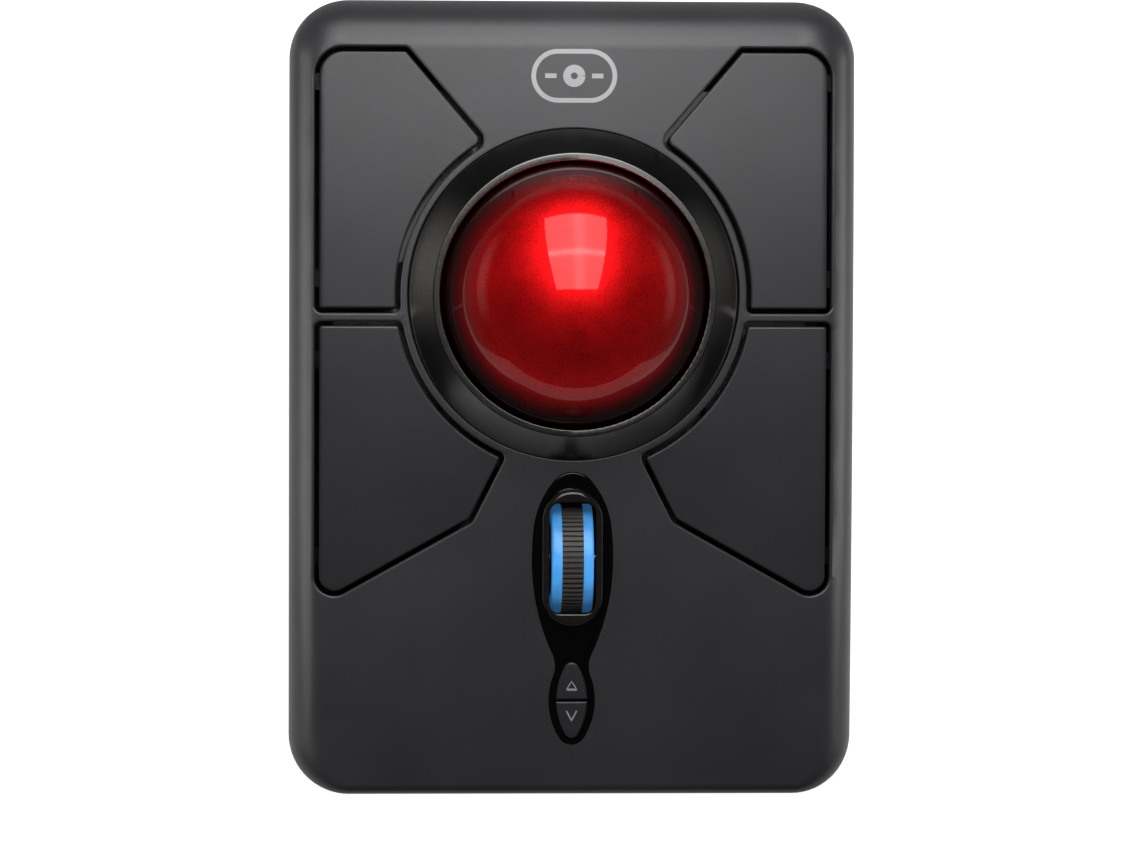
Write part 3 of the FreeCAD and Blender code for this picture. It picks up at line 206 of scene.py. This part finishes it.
def add_floor():
    side = 12
    floor = stage_sheet("floor", [(-side, -side), (side, -side), (side, side), (-side, side)], 0)
    material = new_material("floor_paper")
    tree = material.node_tree
    shader = tree.nodes["shader"]
    shader.inputs["Base Color"].default_value = (0.35, 0.35, 0.35, 1)
    shader.inputs["Roughness"].default_value = 0.8
    glow = tree.nodes.new("ShaderNodeEmission")
    glow.inputs["Strength"].default_value = 0.96
    add = tree.nodes.new("ShaderNodeAddShader")
    mix = tree.nodes.new("ShaderNodeMixShader")
    path = tree.nodes.new("ShaderNodeLightPath")
    out = next(node for node in tree.nodes if node.type == "OUTPUT_MATERIAL")
    tree.links.new(shader.outputs["BSDF"], add.inputs[0])
    tree.links.new(glow.outputs["Emission"], add.inputs[1])
    tree.links.new(path.outputs["Is Camera Ray"], mix.inputs["Fac"])
    tree.links.new(shader.outputs["BSDF"], mix.inputs[1])
    tree.links.new(add.outputs["Shader"], mix.inputs[2])
    below = tree.nodes.new("ShaderNodeMixShader")
    clear = tree.nodes.new("ShaderNodeBsdfTransparent")
    facing = tree.nodes.new("ShaderNodeNewGeometry")
    tree.links.new(facing.outputs["Backfacing"], below.inputs["Fac"])
    tree.links.new(mix.outputs["Shader"], below.inputs[1])
    tree.links.new(clear.outputs["BSDF"], below.inputs[2])
    tree.links.new(below.outputs["Shader"], out.inputs["Surface"])
    floor.data.materials.append(material)
    floor.visible_shadow = False
    right = [(0.056, 0.03), (0.091, -0.008), (1.2, -1.2), (1.2, -1.5)]
    notch = [(-0.056, -0.078), (0.056, -0.078)]
    add_glow("front_table", right + [(-x, y) for x, y in reversed(right)] + notch, 0.0006, 0.6)
    beside = [(0.057, -0.085), (0.10, -0.085), (0.10, 0.085), (0.057, 0.085)]
    add_glow("right_table", beside, 0.0004, 0.9)
    add_glow("left_table", [(-x, y) for x, y in reversed(beside)], 0.0004, 0.7)
    upright = [(0.0, -0.072), (0.024, -0.072), (0.024, 0.072), (0.0, 0.072)]
    for side, strength in ((-1, 0.7), (1, 0.8)):
        card = add_glow("low_card", upright, 0, strength)
        card.rotation_euler = (0, -math.pi / 2, 0)
        card.location = (side * CARD_X, 0, 0.001)


def add_glow(name, outline, height, strength):
    """A patch of brightly lit table or card that only the object sees."""
    table = stage_sheet(name, outline, height)
    table.visible_camera = False
    table.visible_shadow = False
    material = new_material(name + "_glow")
    shader = material.node_tree.nodes["shader"]
    shader.inputs["Base Color"].default_value = (0, 0, 0, 1)
    shader.inputs["Specular IOR Level"].default_value = 0
    shader.inputs["Emission Color"].default_value = (1, 1, 1, 1)
    shader.inputs["Emission Strength"].default_value = strength
    table.data.materials.append(material)
    return table


# ---- Material tools ---------------------------------------------------------------------------------
def new_material(name):
    material = bpy.data.materials.new(name)
    material.use_nodes = True
    tree = material.node_tree
    tree.nodes.clear()
    shader = tree.nodes.new("ShaderNodeBsdfPrincipled")
    shader.name = "shader"
    out = tree.nodes.new("ShaderNodeOutputMaterial")
    tree.links.new(shader.outputs["BSDF"], out.inputs["Surface"])
    coords = tree.nodes.new("ShaderNodeTexCoord")
    coords.name = "coords"
    return material


def add_noise(material, scale, detail=3.0, rough=0.55, stretch=(1, 1, 1)):
    """A noise texture over the object's own coordinates; scale counts features per metre."""
    tree = material.node_tree
    mapping = tree.nodes.new("ShaderNodeMapping")
    mapping.inputs["Scale"].default_value = stretch
    noise = tree.nodes.new("ShaderNodeTexNoise")
    noise.inputs["Scale"].default_value = scale
    noise.inputs["Detail"].default_value = detail
    noise.inputs["Roughness"].default_value = rough
    tree.links.new(tree.nodes["coords"].outputs["Object"], mapping.inputs["Vector"])
    tree.links.new(mapping.outputs["Vector"], noise.inputs["Vector"])
    return noise.outputs["Fac"]


def spread(material, value, low, high, start=0.3, end=0.7):
    """Map a 0 to 1 value to the range low to high."""
    tree = material.node_tree
    node = tree.nodes.new("ShaderNodeMapRange")
    for name, number in (("From Min", start), ("From Max", end), ("To Min", low), ("To Max", high)):
        node.inputs[name].default_value = number
    tree.links.new(value, node.inputs["Value"])
    return node.outputs["Result"]


def blend_colours(material, value, first, second, start=0.3, end=0.7):
    tree = material.node_tree
    ramp = tree.nodes.new("ShaderNodeValToRGB")
    ramp.color_ramp.elements[0].position = start
    ramp.color_ramp.elements[1].position = end
    ramp.color_ramp.elements[0].color = (*first, 1)
    ramp.color_ramp.elements[1].color = (*second, 1)
    tree.links.new(value, ramp.inputs["Fac"])
    return ramp.outputs["Color"]


def add_bump(material, height, depth, strength=1.0):
    tree = material.node_tree
    bump = tree.nodes.new("ShaderNodeBump")
    bump.inputs["Strength"].default_value = strength
    bump.inputs["Distance"].default_value = depth
    tree.links.new(height, bump.inputs["Height"])
    tree.links.new(bump.outputs["Normal"], tree.nodes["shader"].inputs["Normal"])


def moulded(
    name, colour, roughness, grain=2600, depth=0.000012, coat=0.0, vary=0.12, specular=0.5, metallic=0.0
):
    """Moulded plastic: a fine grain, slow changes of colour, and a roughness that wanders a little."""
    material = new_material(name)
    tree = material.node_tree
    shader = tree.nodes["shader"]
    slow = add_noise(material, 45, 2.0)
    fine = add_noise(material, grain, 2.0)
    darker = tuple(c * (1 - vary) for c in colour)
    lighter = tuple(c * (1 + vary) for c in colour)
    tree.links.new(blend_colours(material, slow, darker, lighter), shader.inputs["Base Color"])
    uneven = spread(material, fine, roughness - 0.04, roughness + 0.04)
    tree.links.new(uneven, shader.inputs["Roughness"])
    shader.inputs["Specular IOR Level"].default_value = specular
    shader.inputs["Metallic"].default_value = metallic
    shader.inputs["Coat Weight"].default_value = coat
    shader.inputs["Coat Roughness"].default_value = 0.08
    add_bump(material, fine, depth)
    return material


def metal(name, colour, roughness, stretch=(1, 1, 12)):
    material = new_material(name)
    tree = material.node_tree
    shader = tree.nodes["shader"]
    shader.inputs["Metallic"].default_value = 1.0
    brushed = add_noise(material, 900, 3.0, 0.6, stretch)
    darker = tuple(c * 0.85 for c in colour)
    tree.links.new(blend_colours(material, brushed, darker, colour), shader.inputs["Base Color"])
    uneven = spread(material, brushed, roughness - 0.06, roughness + 0.08)
    tree.links.new(uneven, shader.inputs["Roughness"])
    add_bump(material, brushed, 0.000004)
    return material


def glossy(name, colour, roughness=0.06, coat=1.0, specular=0.5):
    """Polished plastic with faint orange peel."""
    material = new_material(name)
    tree = material.node_tree
    shader = tree.nodes["shader"]
    peel = add_noise(material, 260, 2.0)
    fine = add_noise(material, 1500, 2.0)
    lighter = tuple(c * 1.3 for c in colour)
    shader.inputs["Specular IOR Level"].default_value = specular
    tree.links.new(blend_colours(material, fine, colour, lighter), shader.inputs["Base Color"])
    tree.links.new(spread(material, fine, roughness, roughness + 0.05), shader.inputs["Roughness"])
    shader.inputs["Coat Weight"].default_value = coat
    shader.inputs["Coat Roughness"].default_value = 0.03
    add_bump(material, peel, 0.000008)
    return material


def pearl_resin(name):
    """Red resin full of fine pearl fleck under a clear polished skin, with painted shade darkening its
    colour towards the edges as seen.
    """
    material = new_material(name)
    tree = material.node_tree
    shader = tree.nodes["shader"]
    cloud = add_noise(material, 160, 6.0, 0.62)
    fleck = add_noise(material, 2400, 3.0, 0.7)
    base = blend_colours(material, cloud, (0.80, 0.0012, 0.0025), (1.0, 0.004, 0.007), 0.30, 0.70)
    bright = blend_colours(material, fleck, (0.7, 0.6, 0.6), (1.5, 1.4, 1.4), 0.35, 0.68)
    mix = tree.nodes.new("ShaderNodeMix")
    mix.data_type = "RGBA"
    mix.blend_type = "MULTIPLY"
    mix.inputs["Factor"].default_value = 0.8
    tree.links.new(base, mix.inputs[6])
    tree.links.new(bright, mix.inputs[7])
    # Painted shade: the base colour darkens towards grazing view, painting a dark edge round the ball.
    weight = tree.nodes.new("ShaderNodeLayerWeight")
    painted_edge_shade = blend_colours(material, weight.outputs["Facing"], (1, 1, 1), (0.07, 0.07, 0.07), 0.20, 0.66)
    painted_shade_mix = tree.nodes.new("ShaderNodeMix")
    painted_shade_mix.data_type = "RGBA"
    painted_shade_mix.blend_type = "MULTIPLY"
    painted_shade_mix.inputs["Factor"].default_value = 1.0
    tree.links.new(mix.outputs[2], painted_shade_mix.inputs[6])
    tree.links.new(painted_edge_shade, painted_shade_mix.inputs[7])
    tree.links.new(painted_shade_mix.outputs[2], shader.inputs["Base Color"])
    shader.inputs["Metallic"].default_value = 0.9
    tree.links.new(spread(material, cloud, 0.40, 0.48), shader.inputs["Roughness"])
    shader.inputs["Coat Weight"].default_value = 0.6
    shader.inputs["Coat Roughness"].default_value = 0.015
    shader.inputs["Coat IOR"].default_value = 1.5
    add_bump(material, fleck, 0.00001, 0.5)
    return material


def lit_plastic(name, colour, strength):
    """Frosted plastic with a lamp behind it, brightest where the wheel stands highest."""
    material = new_material(name)
    tree = material.node_tree
    shader = tree.nodes["shader"]
    haze = add_noise(material, 300, 2.0)
    dim = tuple(c * 0.75 for c in colour)
    tint = blend_colours(material, haze, dim, colour)
    tree.links.new(tint, shader.inputs["Base Color"])
    tree.links.new(tint, shader.inputs["Emission Color"])
    place = tree.nodes.new("ShaderNodeNewGeometry").outputs["Position"]
    height = tree.nodes.new("ShaderNodeSeparateXYZ")
    tree.links.new(place, height.inputs["Vector"])
    ring_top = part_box("wheel_light_rings")[1].z
    low_place = ring_top - RING_GLOW_DEPTH
    glow = spread(material, height.outputs["Z"], 0.3 * strength, 1.15 * strength, low_place, ring_top)
    tree.links.new(glow, shader.inputs["Emission Strength"])
    tree.links.new(spread(material, haze, 0.36, 0.44), shader.inputs["Roughness"])
    shader.inputs["Coat Weight"].default_value = 0.05
    return material


def clear_plastic(name, tint):
    material = new_material(name)
    tree = material.node_tree
    shader = tree.nodes["shader"]
    shader.inputs["Base Color"].default_value = (*tint, 1)
    shader.inputs["Transmission Weight"].default_value = 1.0
    haze = add_noise(material, 700, 2.0)
    tree.links.new(spread(material, haze, 0.03, 0.10), shader.inputs["Roughness"])
    return material


MATERIALS = {
    "cover_plastic": moulded("cover_satin", (0.031, 0.0305, 0.034), 0.37),
    "button_plastic": moulded("button_satin", (0.030, 0.0295, 0.033), 0.34),
    "collar_plastic": moulded(
        "collar_satin", (0.125, 0.121, 0.118), 0.20, depth=0.000001, vary=0.06, metallic=1.0
    ),
    "base_plastic": moulded("base_grain", (0.014, 0.014, 0.0155), 0.55, 1700, 0.00004),
    "cup_plastic": moulded("cup_matte", (0.010, 0.010, 0.011), 0.6),
    "ball_resin": pearl_resin("pearl_red"),
    "support_ceramic": glossy("support_ceramic", (0.75, 0.73, 0.68), 0.08),
    "piano_black": glossy("piano_black", (0.0006, 0.0006, 0.0007), 0.04, 0.35, 0.2),
    "bezel_plastic": glossy("bezel_gloss", (0.012, 0.0104, 0.0092), 0.07, 0.35, 0.35),
    "speed_plastic": moulded("speed_satin", (0.031, 0.032, 0.037), 0.38),
    "tyre_rubber": moulded("tyre_rubber", (0.085, 0.077, 0.071), 0.55, 1900, 0.00003),
    "lit_ring": lit_plastic("lit_ring", (0.06, 0.29, 0.68), 0.85),
    "inner_plastic": moulded("inner_plastic", (0.03, 0.03, 0.033), 0.5),
    "switch_plastic": moulded("switch_plastic", (0.02, 0.02, 0.022), 0.5),
    "plunger_plastic": moulded("plunger_plastic", (0.55, 0.52, 0.43), 0.45),
    "steel": metal("bright_steel", (0.60, 0.60, 0.61), 0.28),
    "contact_plate": metal("nickel_plate", (0.72, 0.70, 0.66), 0.20),
    # Solder mask green, darkened well below its own colour so the board shows dark through the button
    # gaps: painted shade.
    "board": moulded("board_mask_painted_shade", (0.004, 0.014, 0.009), 0.32, 1200, 0.00002, 0.4),
    "chips": moulded("chip_resin", (0.02, 0.02, 0.021), 0.5),
    "lens": clear_plastic("lens_clear", (0.92, 0.94, 0.96)),
    "ribbon": moulded("ribbon_film", (0.62, 0.58, 0.46), 0.35),
    "cell_jacket": glossy("cell_jacket", (0.05, 0.06, 0.085), 0.22, 0.3),
    "lead_wire": moulded("lead_red", (0.35, 0.02, 0.02), 0.4),
    "feet_rubber": moulded("feet_rubber", (0.035, 0.035, 0.036), 0.75, 1500, 0.00005),
    "lamp": clear_plastic("lamp_clear", (0.8, 0.9, 1.0)),
}


def plain_normals_group():
    """Geometry nodes that drop the stored face normals, so that the smoothing below decides them."""
    group = bpy.data.node_groups.new("plain_normals", "GeometryNodeTree")
    group.interface.new_socket("Geometry", in_out="INPUT", socket_type="NodeSocketGeometry")
    group.interface.new_socket("Geometry", in_out="OUTPUT", socket_type="NodeSocketGeometry")
    start = group.nodes.new("NodeGroupInput")
    end = group.nodes.new("NodeGroupOutput")
    remove = group.nodes.new("GeometryNodeRemoveAttribute")
    remove.inputs["Name"].default_value = "custom_normal"
    smooth = group.nodes.new("GeometryNodeSetShadeSmooth")
    group.links.new(start.outputs["Geometry"], remove.inputs["Geometry"])
    group.links.new(remove.outputs["Geometry"], smooth.inputs["Geometry"])
    group.links.new(smooth.outputs["Geometry"], end.inputs["Geometry"])
    return group


def dress_nodes():
    """Give each CAD node its finish and smooth shading across its rounded faces."""
    group = plain_normals_group()
    for entry in frame["record"]["subparts"]:
        node = NODES[entry["node"]]
        node.data.materials.clear()
        node.data.materials.append(MATERIALS[entry["material_slot"]])
        plain = node.modifiers.new("plain", "NODES")
        plain.node_group = group
        weld = node.modifiers.new("weld", "WELD")
        weld.merge_threshold = WELD_REACH
        split = node.modifiers.new("crease", "EDGE_SPLIT")
        split.split_angle = math.radians(CREASE_DEGREES)
        even = node.modifiers.new("even", "WEIGHTED_NORMAL")
        even.mode = "FACE_AREA"
        even.keep_sharp = True
    NODES["wheel_light_rings"].visible_glossy = False


# ---- Finely made pieces -----------------------------------------------------------------------------
def add_piece(name, mesh, body, material):
    piece = bpy.data.objects.new(name, mesh)
    bpy.context.scene.collection.objects.link(piece)
    mesh.materials.append(material)
    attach(piece, body)
    return piece


def ball_mesh():
    """A ball of even quads: a cube's faces divided and pushed out to the radius."""
    mesh = bmesh.new()
    bmesh.ops.create_cube(mesh, size=2)
    bmesh.ops.subdivide_edges(mesh, edges=mesh.edges[:], cuts=BALL_STEPS - 1, use_grid_fill=True)
    for vertex in mesh.verts:
        vertex.co = Vector([math.tan(c * math.pi / 4) for c in vertex.co]).normalized()
        vertex.co = BALL_CENTRE + vertex.co * BALL_RADIUS
    data = bpy.data.meshes.new("polished_ball")
    for face in mesh.faces:
        face.smooth = True
    mesh.to_mesh(data)
    mesh.free()
    return data


def surface_point(node, x, y):
    """Where a straight drop at x, y meets the node, lifted by the thickness of a print."""
    into = node.matrix_world.inverted()
    start = into @ Vector((x, y, 0.2))
    hit, spot, _, _ = node.ray_cast(start, (into.to_3x3() @ Vector((0, 0, -1))).normalized())
    if not hit:
        raise RuntimeError("the mark misses " + node.name)
    return node.matrix_world @ spot + Vector((0, 0, PRINT_THICKNESS))


def stadium_path(half_x, half_y, centre_y, steps=20):
    """Points round a lying stadium, anticlockwise."""
    path = []
    for side, turn in ((1, -90), (-1, 90)):
        for i in range(steps + 1):
            angle = math.radians(turn + 180 * i / steps)
            x = side * (half_x - half_y) + half_y * math.cos(angle)
            path.append(Vector((x, centre_y + half_y * math.sin(angle))))
    return path


def dense(path, pitch=0.0005):
    """The same path with a point at least every pitch."""
    points = []
    for first, second in zip(path, path[1:]):
        count = max(1, math.ceil((second - first).length / pitch))
        points += [first.lerp(second, i / count) for i in range(count)]
    return points + [path[-1]]


def printed_line(mesh, node, path, width):
    """A flat printed line that follows the path over the node's surface."""
    points = dense(path)
    rows = []
    for i, point in enumerate(points):
        along = (points[min(i + 1, len(points) - 1)] - points[max(i - 1, 0)]).normalized()
        aside = Vector((-along.y, along.x)) * width / 2
        ends = (point + aside, point - aside)
        rows.append([mesh.verts.new(surface_point(node, end.x, end.y)) for end in ends])
    for (a, b), (c, d) in zip(rows, rows[1:]):
        mesh.faces.new((a, b, d, c))


def add_mark(name, node_name, body, lines, material):
    """Printed lines, each a path and a width, as one piece that moves with the body."""
    mesh = bmesh.new()
    for path, width in lines:
        printed_line(mesh, NODES[node_name], path, width)
    bmesh.ops.recalc_face_normals(mesh, faces=mesh.faces[:])
    data = bpy.data.meshes.new(name)
    mesh.to_mesh(data)
    mesh.free()
    return add_piece(name, data, body, material)


def add_marks():
    """A plain mark behind the ball and the two arrows on the speed keys."""
    paint = moulded("print_grey", (0.42, 0.42, 0.43), 0.5, 1500, 0.000004)
    ring = stadium_path(0.0078, 0.0047, MARK_Y)
    dot = []
    for i in range(25):
        angle = i * math.pi / 12
        dot.append(Vector((0.0014 * math.cos(angle), MARK_Y + 0.0014 * math.sin(angle))))
    bars = [[Vector((x - 0.0011, MARK_Y)), Vector((x + 0.0011, MARK_Y))] for x in (-0.0045, 0.0045)]
    lines = [(ring + ring[:1], 0.0009), (dot, 0.0015)] + [(bar, 0.0009) for bar in bars]
    add_mark("cover_mark", "top_cover", "mouse", lines, paint)
    up_left, up_right, up_tip = Vector((-0.001, -0.0565)), Vector((0.001, -0.0565)), Vector((0, -0.0549))
    up_lines = [([up_left, up_right], 0.0004), ([up_left, up_tip, up_right], 0.00022)]
    add_mark("faster_mark", "speed_up_button", "speed_up_key", up_lines, paint)
    down = [Vector((-0.001, -0.0606)), Vector((0, -0.0625)), Vector((0.001, -0.0606))]
    add_mark("slower_mark", "speed_down_button", "speed_down_key", [(down, 0.0003)], paint)


def add_ball():
    ball = add_piece("polished_ball", ball_mesh(), "ball", MATERIALS["ball_resin"])
    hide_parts("trackball")


add_camera()
add_lights()
add_floor()
dress_nodes()
add_ball()
add_marks()

scene = bpy.context.scene
scene.view_settings.view_transform = "Standard"
scene.view_settings.look = "None"
